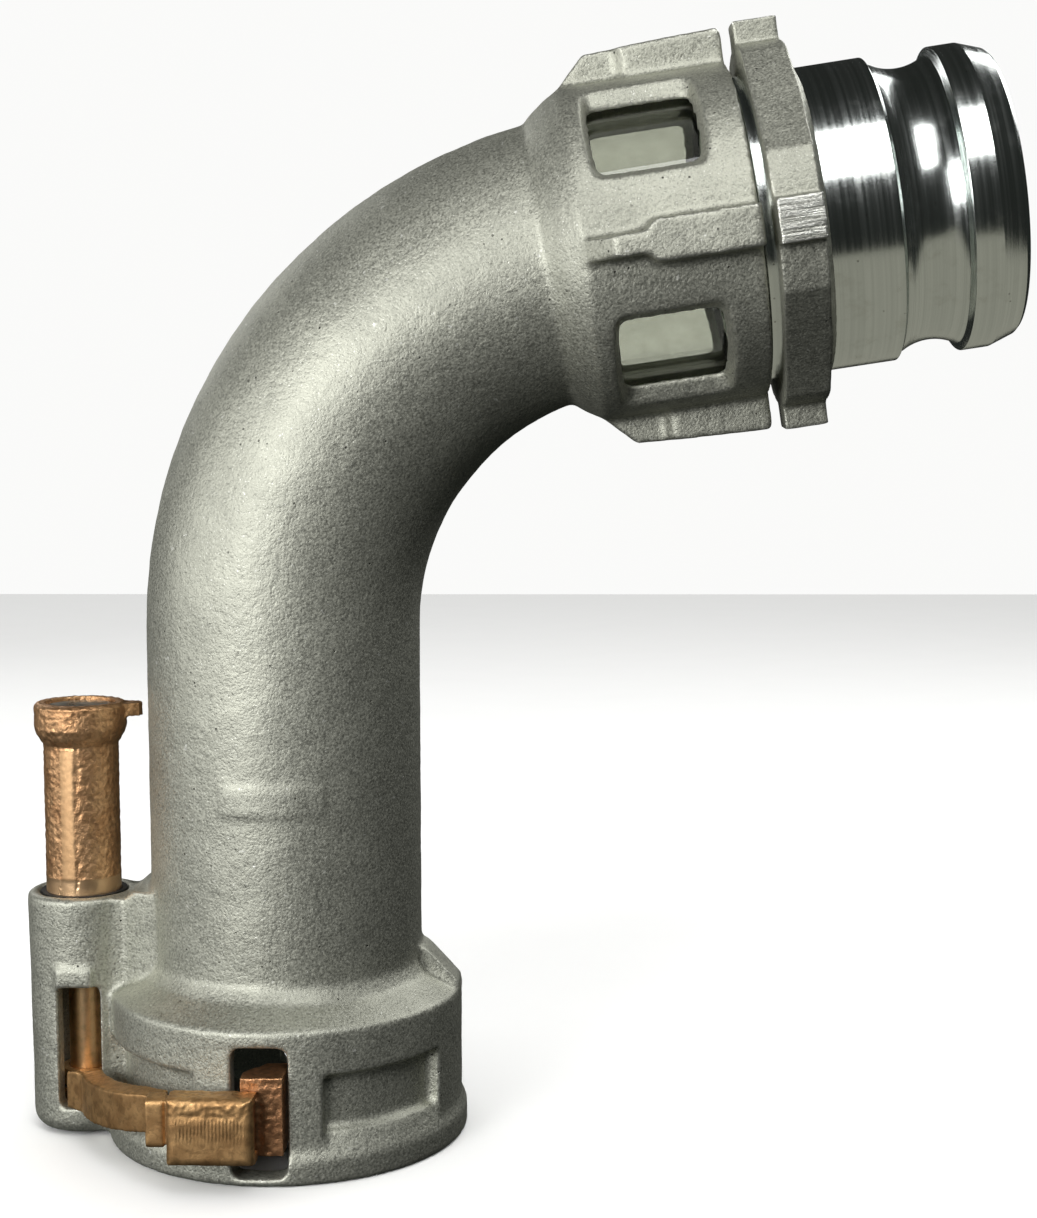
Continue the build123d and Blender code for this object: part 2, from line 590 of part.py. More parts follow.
def camlock_adapter():
    """The grooved male adapter with its lug ring and the spigot that clamps the glass."""
    body = turned([
        (0, SPIGOT_START),
        (SPIGOT_RADIUS, SPIGOT_START),
        (SPIGOT_RADIUS, HOUSING_END + SHOULDER_GAP),
        (SHOULDER_RADIUS, HOUSING_END + SHOULDER_GAP),
        (SHOULDER_RADIUS, RING_END),
        (ADAPTER_RADIUS, ADAPTER_START),
        (ADAPTER_RADIUS, GROOVE_START),
        (ADAPTER_RADIUS - GROOVE_SHOULDER, GROOVE_START + GROOVE_EDGE),
        (ADAPTER_RADIUS - GROOVE_SHOULDER, GROOVE_END - GROOVE_EDGE),
        (ADAPTER_RADIUS, GROOVE_END),
        (ADAPTER_RADIUS, NOSE_START),
        (NOSE_RADIUS, ADAPTER_END - NOSE_BEVEL),
        (NOSE_RADIUS - NOSE_BEVEL, ADAPTER_END),
        (0, ADAPTER_END)])
    half_width = GROOVE_LENGTH / 2 - GROOVE_EDGE
    depth = ADAPTER_RADIUS - GROOVE_SHOULDER - GROOVE_RADIUS
    arc_radius = (half_width ** 2 + depth ** 2) / (2 * depth)
    groove = Plane.XZ * Pos(GROOVE_RADIUS + arc_radius, GROOVE_MIDDLE) * Circle(arc_radius)
    body -= revolve(groove, Axis.Z, 360)
    square = Rot(0, 0, PATTERN_ROLL + 45) * Rectangle(2 * RING_FLAT_RADIUS, 2 * RING_FLAT_RADIUS)
    ring = square & Circle(RING_CORNER_RADIUS)
    body += Pos(0, 0, RING_START) * extrude(ring, RING_END - RING_START)
    body += turned([
        (0, RING_END - PAST),
        (RING_FLAT_RADIUS - RING_BEVEL, RING_END - PAST),
        (RING_FLAT_RADIUS - RING_BEVEL, RING_END),
        (ADAPTER_RADIUS, ADAPTER_START),
        (0, ADAPTER_START)])
    lug_y = (-LUG_HALF_WIDTH, LUG_HALF_WIDTH)
    lug = box_between((SHOULDER_RADIUS, LUG_RADIUS), lug_y, (RING_START, LUG_END))
    lug = chamfer(lug.edges().filter_by(Axis.Y).group_by(Axis.X)[-1], LUG_BEVEL)
    for piece in around_arm(lug):
        body += piece
    body -= rod_between(BORE_RADIUS, SPIGOT_START - PAST, ADAPTER_END + PAST)
    return arm_frame.location * body


def coupler_gasket():
    outer = SOCKET_RADIUS + GASKET_GRIP - GASKET_GAP
    low = SOCKET_DEPTH + GASKET_GAP
    ring = tube_between(outer, BORE_RADIUS + GASKET_BORE_GAP, low, GASKET_TOP - GASKET_GAP)
    groove_outer = SOCKET_RADIUS - GASKET_GROOVE_INSET
    groove_inner = groove_outer - GASKET_GROOVE_WIDTH
    return ring - tube_between(groove_outer, groove_inner, low - PAST, low + GASKET_GROOVE_DEPTH)


# ---- Handle, spindle and sleeve ----
def cam_groove(side):
    """The groove in the post that turns one cam pin as the post rises."""
    shift = radians(ARM_SWING) * (SLEEVE_RADIUS + CAM_PIN_REACH) / 2
    lean = degrees(atan(shift / HANDLE_LIFT))
    length = sqrt(shift ** 2 + HANDLE_LIFT ** 2)
    radius = CAM_PIN_RADIUS + FREE_GAP
    face = Plane.YZ * Rot(0, 0, 90 + side * lean) * SlotCenterToCenter(length, 2 * radius)
    cutter = extrude(face, CAM_PIN_REACH + CAM_GROOVE_SPARE)
    turn = side * (90 + ARM_SWING / 2)
    return Pos(PIVOT_X, 0, CAM_PIN_Z - HANDLE_LIFT / 2) * Rot(0, 0, turn) * cutter


def handle_post():
    post = turned([
        (0, POST_BOTTOM),
        (JOURNAL_RADIUS, POST_BOTTOM),
        (JOURNAL_RADIUS, JOURNAL_TOP),
        (POST_RADIUS, JOURNAL_TOP + POST_STEP),
        (POST_RADIUS, HEAD_BOTTOM),
        (HEAD_RADIUS - EDGE_BEVEL, HEAD_BOTTOM + HEAD_FLARE),
        (HEAD_RADIUS, HEAD_BOTTOM + HEAD_FLARE + HEAD_BAND_START),
        (HEAD_RADIUS, HEAD_TOP - HEAD_TOP_BEVEL),
        (HEAD_RADIUS - HEAD_TOP_BEVEL, HEAD_TOP),
        (0, HEAD_TOP)])
    tab = make_face(Polyline(
        (JOURNAL_RADIUS, -TAB_WIDTH / 2),
        (TAB_REACH - TAB_POINT, -TAB_TIP_WIDTH / 2),
        (TAB_REACH, 0),
        (TAB_REACH - TAB_POINT, TAB_TIP_WIDTH / 2),
        (JOURNAL_RADIUS, TAB_WIDTH / 2),
        close=True))
    tab = Pos(0, 0, HEAD_TOP - TAB_DROP - TAB_THICKNESS) * extrude(tab, TAB_THICKNESS)
    post += Rot(0, 0, TAB_TURN) * tab
    post -= rod_between(SLEEVE_RADIUS + RUNNING_GAP, POST_BOTTOM - PAST, POST_HOLLOW_FLOOR + PAST)
    post -= rod_between(POST_HOLLOW_RADIUS, POST_HOLLOW_FLOOR, HEAD_TOP)
    post -= rod_between(HEAD_HOLLOW_RADIUS, HEAD_BOTTOM, HEAD_TOP + PAST)
    key_x = (-JOURNAL_RADIUS - PAST, KEY_DEPTH - JOURNAL_RADIUS)
    groove_half = KEY_WIDTH / 2 + RUNNING_GAP
    post -= box_between(key_x, (-groove_half, groove_half), (POST_BOTTOM - PAST, BUSH_TOP + PAST))
    post = Pos(PIVOT_X, 0, 0) * post
    return post - cam_groove(FRONT) - cam_groove(REAR)


def upper_bush():
    inner = JOURNAL_RADIUS + RUNNING_GAP
    bush = tube_between(BUSH_RADIUS, inner, POST_BOTTOM + SEAT_GAP, BUSH_TOP, PIVOT_X)
    key_x = (PIVOT_X - BUSH_RADIUS - PAST, PIVOT_X)
    return bush - box_between(key_x, (-KEY_WIDTH / 2, KEY_WIDTH / 2), (KEY_BOTTOM, BUSH_TOP + PAST))


def guide_key():
    inner_end = PIVOT_X - JOURNAL_RADIUS + KEY_DEPTH - RUNNING_GAP
    key_x = (PIVOT_X - BUSH_RADIUS + KEY_SHORT, inner_end)
    return box_between(key_x, (-KEY_WIDTH / 2, KEY_WIDTH / 2), (KEY_BOTTOM, BUSH_TOP - SEAT_GAP))


def post_wiper_ring():
    inner = JOURNAL_RADIUS + 2 * RUNNING_GAP
    return tube_between(BUSH_RADIUS - SEAT_GAP, inner, BUSH_TOP + SEAT_GAP, BOSS_TOP - FREE_GAP, PIVOT_X)


def seat_washer():
    outer = POST_HOLLOW_RADIUS - SEAT_WASHER_GAP
    top = POST_HOLLOW_FLOOR + SEAT_WASHER_HEIGHT
    return tube_between(outer, SPINDLE_RADIUS + FREE_GAP, POST_HOLLOW_FLOOR, top, PIVOT_X)


def return_spring():
    """A compression spring between the washer in the post and the spindle's disc."""
    end_room = SPRING_WIRE_RADIUS + SPRING_END_GAP
    low = POST_HOLLOW_FLOOR + SEAT_WASHER_HEIGHT + end_room
    high = SPINDLE_DISC_BOTTOM - end_room
    path = Helix(pitch=(high - low) / SPRING_TURNS, height=high - low, radius=SPRING_RADIUS)
    section = Plane(origin=path @ 0, z_dir=path % 0) * Circle(SPRING_WIRE_RADIUS)
    return Pos(PIVOT_X, 0, low) * sweep(section, path=path, is_frenet=True)


def spindle():
    """The inner shaft that turns the rear arm, with the disc that shows in the handle's head."""
    shaft = rod_between(SPINDLE_RADIUS, SPINDLE_START, SPINDLE_DISC_BOTTOM + PAST)
    disc = rod_between(HEAD_HOLLOW_RADIUS - FREE_GAP, SPINDLE_DISC_BOTTOM, SPINDLE_DISC_TOP)
    disc = chamfer(disc.edges().group_by(Axis.Z)[-1], SPINDLE_DISC_BEVEL)
    shaft = Pos(PIVOT_X, 0, 0) * (shaft + disc)
    return shaft - rear_cam_pin() - rear_arm_key()


def spindle_nut():
    nut = extrude(RegularPolygon(NUT_RADIUS, 6) - Circle(SPINDLE_RADIUS), NUT_HEIGHT)
    return Pos(PIVOT_X, 0, NUT_POCKET_TOP - NUT_GAP - NUT_HEIGHT) * nut


def front_sleeve():
    """The tube that turns the front arm: it shows, polished, in the boss window."""
    inner = SPINDLE_RADIUS + RUNNING_GAP
    sleeve = tube_between(SLEEVE_RADIUS, inner, UPPER_HUB_BOTTOM, SLEEVE_TOP, PIVOT_X)
    height = 2 * (CAM_PIN_RADIUS + FREE_GAP)
    width = height + SLEEVE_RADIUS * radians(2 * ARM_SWING)
    clearance = extrude(Plane.YZ * Rectangle(width, height), SLEEVE_RADIUS + PAST)
    sleeve -= Pos(PIVOT_X, 0, CAM_PIN_Z) * Rot(0, 0, 90 + ARM_SWING) * clearance
    sleeve -= front_cam_pin()
    return sleeve - front_arm_key()


def front_cam_pin():
    return radial_pin(CAM_PIN_RADIUS, SPINDLE_RADIUS + FREE_GAP, CAM_PIN_REACH, -90, CAM_PIN_Z)


def rear_cam_pin():
    return radial_pin(CAM_PIN_RADIUS, CAM_PIN_INSET - SPINDLE_RADIUS, CAM_PIN_REACH, 90, CAM_PIN_Z)


def front_arm_key():
    middle = UPPER_HUB_BOTTOM + HUB_HEIGHT / 2
    return radial_pin(CAM_PIN_RADIUS, SPINDLE_RADIUS + FREE_GAP, HUB_RADIUS - ARM_KEY_SHORT, 180, middle)


def rear_arm_key():
    return radial_pin(CAM_PIN_RADIUS, 0, HUB_RADIUS - ARM_KEY_SHORT, 180, HUB_BOTTOM + HUB_HEIGHT / 2)


def hub_washer(low, high):
    """A thin thrust washer about the spindle, with a little air above and below."""
    inner = SPINDLE_RADIUS + WASHER_BORE_GAP
    return tube_between(HUB_RADIUS - WASHER_INSET, inner, low + SEAT_GAP, high - SEAT_GAP, PIVOT_X)


# ---- Arms and jaws, drawn for the front side ----
def arm_plan():
    """The arm's outline from above: straight out of the boss, then round the coupler."""
    half = (ARM_START_ANGLE - ARM_END_ANGLE) / 2
    middle = -(ARM_START_ANGLE + ARM_END_ANGLE) / 2
    band = ring_sector(ARM_OUTER_RADIUS, ARM_INNER_RADIUS, 0, HEAD_TOP, middle, half)
    turn = radians(ARM_START_ANGLE)
    left = PIVOT_X + WINDOW_LEFT + WINDOW_SIDE_GAP
    right = PIVOT_X + WINDOW_RIGHT - WINDOW_SIDE_GAP
    swing = sin(radians(ARM_SWING))
    root = make_face(Polyline(
        (left + swing * HUB_RADIUS / 2, -HUB_RADIUS / 2),
        (left + swing * HUB_RADIUS, -HUB_RADIUS),
        (left + swing * BOSS_TOP_RADIUS, -BOSS_TOP_RADIUS),
        (ARM_OUTER_RADIUS * cos(turn), -ARM_OUTER_RADIUS * sin(turn)),
        (ARM_INNER_RADIUS * cos(turn), -ARM_INNER_RADIUS * sin(turn)),
        (right, -BOSS_TOP_RADIUS - PAST),
        (right, -HUB_RADIUS / 2),
        close=True))
    return band + extrude(root, HEAD_TOP)


def arm_profile():
    """The arm's side outline, which rises along X towards the jaw."""
    turn_x = ARM_OUTER_RADIUS * cos(radians(ARM_START_ANGLE))
    start_x = PIVOT_X - HUB_RADIUS - PAST
    outline = make_face(Polyline(
        (start_x, ARM_ROOT_BOTTOM),
        (turn_x, ARM_ROOT_BOTTOM),
        (COLLAR_LEFT, ARM_END_BOTTOM),
        (BLOCK_LEFT + SUNK, ARM_END_BOTTOM),
        (BLOCK_LEFT + SUNK, ARM_END_TOP),
        (COLLAR_LEFT - SUNK, ARM_END_TOP - ARM_TOP_DROP),
        (turn_x + SUNK, ARM_ROOT_TOP),
        (start_x, ARM_ROOT_TOP),
        close=True))
    return extrude(Plane.XZ * outline, ARM_OUTER_RADIUS + PAST, both=True)


def arm_root_slope():
    """The wedge above the arm's root, taken off so that the root meets the hub's height."""
    outline = make_face(Polyline(
        (0, HUB_TOP),
        (-HUB_RADIUS, HUB_TOP),
        (-BOSS_TOP_RADIUS - SUNK, ARM_ROOT_TOP),
        (-BOSS_TOP_RADIUS - SUNK, ARM_END_TOP),
        (0, ARM_END_TOP),
        close=True))
    return extrude(Plane.YZ * outline, BOSS_TOP_RADIUS - PIVOT_X, both=True)


def jaw_block():
    """The block at the arm's end that holds the jaw, and the small collar beside it."""
    block = box_between((BLOCK_LEFT, BLOCK_RIGHT), (-BLOCK_FRONT, -BLOCK_BACK), BLOCK_Z)
    block = fillet(block.edges().filter_by(Axis.X) + block.edges().filter_by(Axis.Z), BLOCK_ROUND)
    side_x = (COLLAR_LEFT, BLOCK_LEFT - COLLAR_GAP)
    side = box_between(side_x, (-COLLAR_FRONT, SUNK - BLOCK_BACK), COLLAR_Z)
    side = fillet(side.edges().filter_by(Axis.X), COLLAR_ROUND)
    neck_x = (COLLAR_LEFT + SUNK, BLOCK_LEFT + SUNK)
    neck_z = (COLLAR_Z[0] + NECK_INSET[0], COLLAR_Z[1] - NECK_INSET[1])
    neck = box_between(neck_x, (EDGE_BEVEL - COLLAR_FRONT, -BLOCK_BACK), neck_z)
    return block + side + neck


def jaw(side):
    """One hooked jaw: it passes through its slot and hooks under the mating adapter's lip."""
    body = box_between((JAW_LEFT, JAW_RIGHT), (-JAW_OUTER, SUNK - JAW_TIP_RADIUS), JAW_Z)
    body -= rod_between(JAW_TIP_RADIUS, 0, HEAD_TOP)
    slot_edge = sqrt((SLOT_LEFT - PIVOT_X) ** 2 + COLLAR_RADIUS ** 2 - SLOT_LEFT ** 2)
    body -= rod_between(slot_edge + JAW_SLOT_MARGIN, 0, HEAD_TOP, PIVOT_X)
    body += box_between((TANG_LEFT, BLOCK_RIGHT - EDGE_BEVEL), (-TANG_FRONT, PAST - JAW_OUTER), TANG_Z)
    body -= rod_between(JAW_PIN_RADIUS, 0, HEAD_TOP, JAW_PIN_X, -JAW_PIN_Y)
    return to_side(body, side)


def jaw_pocket():
    """What the jaw and its tang take out of the block."""
    gap = TANG_GAP
    back = PAST - BLOCK_BACK
    tang_z = (TANG_Z[0] - gap, TANG_Z[1] + gap)
    body_z = (JAW_Z[0] - gap, JAW_Z[1] + gap)
    tang = box_between((TANG_LEFT - gap, BLOCK_RIGHT + PAST), (-TANG_FRONT - gap, back), tang_z)
    return tang + box_between((JAW_LEFT - gap, JAW_RIGHT), (-JAW_OUTER - gap, back), body_z)


def jaw_pin(side):
    pin_z = (BLOCK_Z[0] + FREE_GAP, TANG_Z[1] + JAW_PIN_CAP)
    pin = rod_between(JAW_PIN_RADIUS, pin_z[0], pin_z[1], JAW_PIN_X, -JAW_PIN_Y)
    return to_side(pin, side)


def arm(side):
    """One arm: its hub on the pivot axis, its bar round the coupler and its jaw block."""
    bar = (arm_plan() & arm_profile()) - arm_root_slope()
    bar -= rod_between(HUB_RADIUS + ROOT_CLEARANCE, 0, HEAD_TOP, PIVOT_X)
    low = UPPER_HUB_BOTTOM if side == FRONT else HUB_BOTTOM
    inner = SLEEVE_RADIUS if side == FRONT else SPINDLE_RADIUS
    hub = rod_between(HUB_RADIUS, low, low + HUB_HEIGHT, PIVOT_X)
    bridge_end = HUB_RADIUS + BRIDGE_REACH
    window_edge = PIVOT_X + WINDOW_LEFT + WINDOW_SIDE_GAP
    bridge_x = (window_edge + sin(radians(ARM_SWING)) * bridge_end, PIVOT_X + BRIDGE_RIGHT)
    bridge_z = (max(low, ARM_ROOT_BOTTOM), low + HUB_HEIGHT)
    bridge = box_between(bridge_x, (-bridge_end, SUNK - HUB_RADIUS), bridge_z)
    body = bar + hub + bridge + jaw_block() - jaw_pocket()
    body -= rod_between(inner, 0, HEAD_TOP, PIVOT_X)
    body -= rod_between(JAW_PIN_RADIUS, 0, TANG_Z[1] + JAW_PIN_CAP, JAW_PIN_X, -JAW_PIN_Y)
    key = front_arm_key() if side == FRONT else rear_arm_key()
    return to_side(body, side) - key


def parts():
    """Every node's name and its solid."""
    return {
        "elbow_body": elbow_body(),
        "sight_glass": sight_glass(),
        "glass_gasket_inner": glass_gasket(GLASS_SEAT),
        "glass_gasket_outer": glass_gasket(SPIGOT_START - GLASS_GASKET_THICKNESS),
        "camlock_adapter": camlock_adapter(),
        "coupler_gasket": coupler_gasket(),
        "upper_bush": upper_bush(),
        "guide_key": guide_key(),
        "post_wiper_ring": post_wiper_ring(),
        "return_spring": return_spring(),
        "thrust_washer": hub_washer(CAVITY_FLOOR, HUB_BOTTOM),
        "handle_post": handle_post(),
        "spring_seat_washer": seat_washer(),
        "front_arm": arm(FRONT),
        "front_sleeve": front_sleeve(),
        "front_arm_key": front_arm_key(),
        "front_cam_pin": front_cam_pin(),
        "front_jaw": jaw(FRONT),
        "front_jaw_pin": jaw_pin(FRONT),
        "hub_spacer": hub_washer(HUB_BOTTOM + HUB_HEIGHT, UPPER_HUB_BOTTOM),
        "rear_arm": arm(REAR),
        "spindle": spindle(),
        "spindle_nut": spindle_nut(),
        "rear_arm_key": rear_arm_key(),
        "rear_cam_pin": rear_cam_pin(),
        "rear_jaw": jaw(REAR),
        "rear_jaw_pin": jaw_pin(REAR),
    }


os.makedirs("parts", exist_ok=True)
for name, solid in parts().items():
    export_step(solid, f"parts/{name}.step")
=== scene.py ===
"""The look of a camlock drop elbow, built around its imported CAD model.

Lengths are metres, or millimetres where a name ends in _MM. The frame is the CAD model's: the
coupler's rim stands on z = 0, +Z runs up the tube, +X points to the upper arm, -Y is the front.
"""

import json
import math

import bmesh
import bpy
from mathutils import Matrix, Vector, noise

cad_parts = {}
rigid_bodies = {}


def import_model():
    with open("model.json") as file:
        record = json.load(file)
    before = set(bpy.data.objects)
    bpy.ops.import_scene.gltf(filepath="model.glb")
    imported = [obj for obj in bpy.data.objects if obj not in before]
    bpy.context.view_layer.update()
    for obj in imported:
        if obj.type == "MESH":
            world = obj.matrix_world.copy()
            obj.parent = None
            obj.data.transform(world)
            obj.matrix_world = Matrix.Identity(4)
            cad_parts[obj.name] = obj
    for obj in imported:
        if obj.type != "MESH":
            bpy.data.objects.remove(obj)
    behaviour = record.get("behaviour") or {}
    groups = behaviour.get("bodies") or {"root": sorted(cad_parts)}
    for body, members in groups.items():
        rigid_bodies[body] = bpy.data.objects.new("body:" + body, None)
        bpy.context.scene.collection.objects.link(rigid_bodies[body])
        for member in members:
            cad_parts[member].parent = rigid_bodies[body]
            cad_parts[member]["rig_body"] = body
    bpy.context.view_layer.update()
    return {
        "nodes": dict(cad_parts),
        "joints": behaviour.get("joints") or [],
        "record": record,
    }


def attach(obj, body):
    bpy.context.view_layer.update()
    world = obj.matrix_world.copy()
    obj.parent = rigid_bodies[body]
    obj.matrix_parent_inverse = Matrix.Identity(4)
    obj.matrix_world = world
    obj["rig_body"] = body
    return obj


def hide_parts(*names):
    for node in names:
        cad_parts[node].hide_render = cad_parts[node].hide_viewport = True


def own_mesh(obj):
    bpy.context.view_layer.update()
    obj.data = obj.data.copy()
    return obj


MM = 0.001

# ---- Camera and light ----
CAMERA_PLACE = (0.1172, -0.8235, 0.2951)
CAMERA_DEGREES = (84.511, 0.108, 1.466)
CAMERA_LENS_MM = 59.98
CAMERA_SENSOR_MM = 36.0
LIT_POINT = (0.12, 0.0, 0.25)
PALE = (0.96, 0.96, 0.95, 1.0)
ROOM = (0.018, 0.020, 0.018, 1.0)
FLOOR_REACH = 2.5
FLOOR_LIGHT = 780
MIRRORED_FLOOR_LIGHT = 1.3

# ---- Turned profile of the camlock adapter: (radius, distance along the arm) in millimetres ----
ADAPTER_BORE_MM = 50.8
SPIGOT_START_MM = 47.8
ADAPTER_END_MM = 159.0
MALE_RADIUS_MM = 59.75
LAND_START_MM = 86.0
LAND_END_MM = 111.0
GROOVE_MIDDLE_MM = 125.0
GROOVE_CENTRE_RADIUS_MM = 75.22
GROOVE_ARC_MM = 21.72
GROOVE_HALF_MM = 12.05
ADAPTER_OUTLINE_BEFORE_GROOVE = (
    (ADAPTER_BORE_MM, SPIGOT_START_MM), (58.3, SPIGOT_START_MM), (58.3, 59.5), (60.0, 59.5), (60.0, 83.0),
    (MALE_RADIUS_MM, LAND_START_MM), (MALE_RADIUS_MM, LAND_END_MM), (57.15, 112.2))
ADAPTER_OUTLINE_AFTER_GROOVE = (
    (57.15, 136.3), (MALE_RADIUS_MM, 137.5), (MALE_RADIUS_MM, 148.0), (56.4, 157.5),
    (54.9, ADAPTER_END_MM), (ADAPTER_BORE_MM, ADAPTER_END_MM))

# ---- Cast ring with four lugs round the adapter ----
PATTERN_ROLL = math.radians(3.1)
RING_BORE_MM = 58.5
RING_START_MM = 63.4
RING_END_MM = 82.0
RING_FLAT_MM = 65.5
RING_CORNER_MM = 71.5
RING_EDGE_MM = 0.5
CONE_RADIUS_MM = 65.0
CONE_END_MM = 85.0
LUG_ROOT_MM = 60.0
LUG_END_MM = 81.0
LUG_REACH_MM = 80.5
LUG_HALF_WIDTH_MM = 8.5

# ---- Fineness of the turned meshes, and which edges stay sharp ----
GROOVE_STEPS = 24
CORNER_STEPS = 4
CORNER_REACH_MM = 0.35
LATHE_SEGMENTS = 256
RING_SEGMENTS = 720
SMOOTH_TURN = math.radians(14)
SHARP_EDGE = math.radians(35)

# ---- Handle post and arms ----
POST_MACHINED_TOP = 0.106
HEAD_START = 0.160
STRIP_LEFT_OF_PIVOT = 0.0026
BLOCK_X = (-0.0352, -0.0015)
BLOCK_FRONT = 0.0738

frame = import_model()
scene = bpy.context.scene
scene.view_settings.view_transform = "Standard"


def joint(name):
    """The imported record's row for one joint."""
    return {row["name"]: row for row in frame["joints"]}[name]


def arm_matrix():
    """The place of the arm's own frame: Z along the arm, X to the front, origin at the arm's start."""
    mounts = {mount["name"]: mount for mount in frame["record"]["mounts"]}
    mount = mounts["camlock_male"]
    along = Vector(mount["axis"]).normalized()
    start = Vector(mount["pos_m"]) - along * (LAND_START_MM + LAND_END_MM) / 2 * MM
    front = Vector((0, -1, 0))
    down = along.cross(front)
    turn = Matrix((front, down, along)).transposed().to_4x4()
    return Matrix.Translation(start) @ turn


ARM = arm_matrix()
PIVOT_X = joint("front_arm_swing")["pos_m"][0]
STRIP_X = PIVOT_X - STRIP_LEFT_OF_PIVOT


# ---- Shader building ----
class Shader:
    """A material with one principled shader, and short ways to add nodes to it."""

    def __init__(self, name, **values):
        self.material = bpy.data.materials.new(name)
        self.material.use_nodes = True
        self.tree = self.material.node_tree
        self.surface = self.tree.nodes["Principled BSDF"]
        self.set(**values)

    def set(self, **values):
        """Sets the shader's inputs, named with _ for each space."""
        for name, value in values.items():
            self.feed(self.surface.inputs[name.replace("_", " ")], value)

    def feed(self, socket, value):
        """Links a node's output to the socket, or sets the socket to a plain value."""
        if isinstance(value, bpy.types.NodeSocket):
            self.tree.links.new(value, socket)
        else:
            socket.default_value = value

    def node(self, kind, settings=None, inputs=None):
        made = self.tree.nodes.new(kind)
        for name, value in (settings or {}).items():
            setattr(made, name, value)
        for name, value in (inputs or {}).items():
            self.feed(made.inputs[name], value)
        return made

    def place(self, stretch=(1.0, 1.0, 1.0), turn=(0.0, 0.0, 0.0)):
        """The position on the piece in millimetres, stretched and turned if asked."""
        where = self.node("ShaderNodeTexCoord").outputs["Object"]
        scale = tuple(1000 * share for share in stretch)
        inputs = {"Vector": where, "Scale": scale, "Rotation": turn}
        return self.node("ShaderNodeMapping", None, inputs).outputs[0]

    def axes(self, where):
        return self.node("ShaderNodeSeparateXYZ", None, {0: where}).outputs

    def math(self, operation, first, second=0.0):
        return self.node("ShaderNodeMath", {"operation": operation}, {0: first, 1: second}).outputs[0]

    def times(self, first, second):
        return self.math("MULTIPLY", first, second)

    def noise(self, where, size_mm, detail=2.0, rough=0.5, warp=0.0):
        inputs = {
            "Vector": where,
            "Scale": 1 / size_mm,
            "Detail": detail,
            "Roughness": rough,
            "Distortion": warp}
        return self.node("ShaderNodeTexNoise", None, inputs).outputs["Fac"]

    def cells(self, where, size_mm):
        """The distance to the nearest of many scattered points."""
        inputs = {"Vector": where, "Scale": 1 / size_mm}
        return self.node("ShaderNodeTexVoronoi", None, inputs).outputs["Distance"]

    def span(self, value, low, high, out_low=0.0, out_high=1.0):
        """value moved from the span low to high onto out_low to out_high, with soft ends."""
        inputs = {"Value": value, "From Min": low, "From Max": high, "To Min": out_low, "To Max": out_high}
        return self.node("ShaderNodeMapRange", {"interpolation_type": "SMOOTHSTEP"}, inputs).outputs[0]

    def mix(self, share, first, second):
        made = self.node("ShaderNodeMix", {"data_type": "RGBA"})
        self.feed(made.inputs[0], share)
        self.feed(made.inputs[6], first)
        self.feed(made.inputs[7], second)
        return made.outputs[2]

    def blend(self, share, first, second):
        made = self.node("ShaderNodeMix", {"data_type": "FLOAT"})
        self.feed(made.inputs[0], share)
        self.feed(made.inputs[2], first)
        self.feed(made.inputs[3], second)
        return made.outputs[0]

    def bump(self, height, depth_mm, strength=1.0, under=None):
        inputs = {"Height": height, "Distance": depth_mm * MM, "Strength": strength}
        if under is not None:
            inputs["Normal"] = under
        return self.node("ShaderNodeBump", None, inputs).outputs[0]

    def edges(self):
        """1 on outside edges, 0 elsewhere."""
        return self.span(self.node("ShaderNodeNewGeometry").outputs["Pointiness"], 0.515, 0.57)

    def hollows(self):
        """1 in inside corners, 0 elsewhere."""
        return self.span(self.node("ShaderNodeNewGeometry").outputs["Pointiness"], 0.49, 0.43)

    def scratches(self, turn, size_mm, amount):
        """Short thin lines in one direction, 1 on a line."""
        lines = self.noise(self.place((1.0, 0.04, 1.0), turn), size_mm, 1.0)
        return self.span(lines, 1 - amount, 1 - amount + 0.03)


def grey(value, warm=0.0):
    """A grey of a given brightness, slightly warm or green."""
    return (value * (1 - 0.1 * warm), value, value * (1 - 1.5 * warm), 1.0)


def shaded(colour, share):
    """A colour made darker or brighter."""
    return [min(1.0, share * part) for part in colour[:3]] + [1.0]


